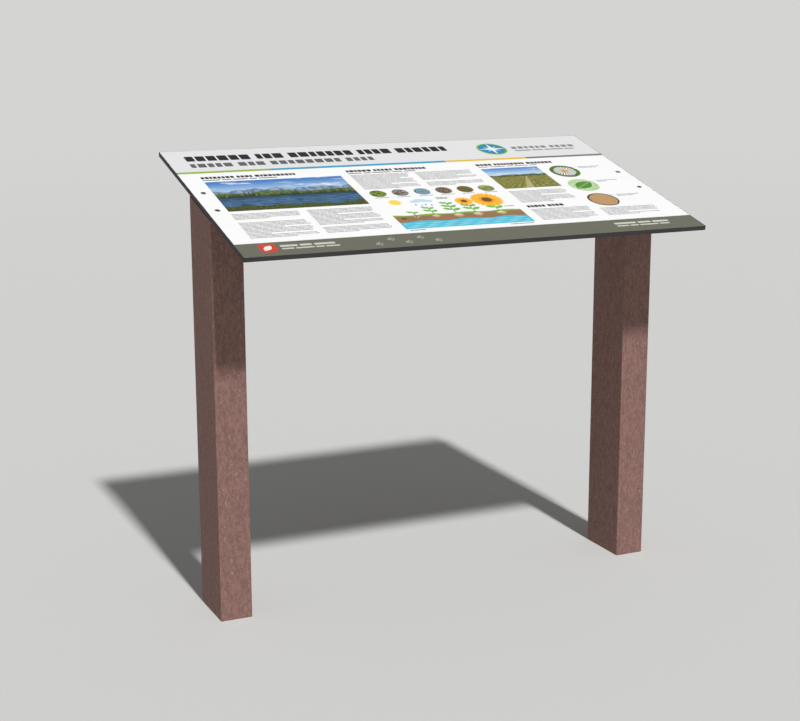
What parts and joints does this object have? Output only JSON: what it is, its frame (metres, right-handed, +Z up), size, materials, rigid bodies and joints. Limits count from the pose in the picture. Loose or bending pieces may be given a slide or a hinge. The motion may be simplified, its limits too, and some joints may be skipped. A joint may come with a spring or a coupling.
{
  "type": "park interpretation sign",
  "caption": "Low tilted information panel on rectangular posts, read from above, with a printed face and countersunk tamper-resistant screws.",
  "frame": {"origin": "on the ground, in the middle of the sign's outline seen from above", "axes": "+X to the reader's right along the panel's front edge, +Y away from the reader towards the panel's raised back edge, +Z up"},
  "size_m": [1.1, 0.5904, 1.009],
  "materials": {
    "printed_laminate": null,
    "board_laminate": "dark grey compact laminate, satin faces and cut edges",
    "recycled_plastic": "mauve-brown speckled recycled plastic, dull, with faint lengthwise streaks",
    "pad_rubber": "black sheet rubber",
    "screw_dark_steel": "weathered stainless steel, dull grey",
    "insert_brass": "turned brass"
  },
  "bodies": {
    "root": {"panel_board": "board_laminate", "printed_face": "printed_laminate", "post_left": "recycled_plastic", "bedding_pad_left": "pad_rubber", "panel_screw_left_front": "screw_dark_steel", "threaded_insert_left_front": "insert_brass", "panel_screw_left_back": "screw_dark_steel", "threaded_insert_left_back": "insert_brass", "post_right": "recycled_plastic", "bedding_pad_right": "pad_rubber", "panel_screw_right_front": "screw_dark_steel", "threaded_insert_right_front": "insert_brass", "panel_screw_right_back": "screw_dark_steel", "threaded_insert_right_back": "insert_brass"}
  },
  "joints": []
}
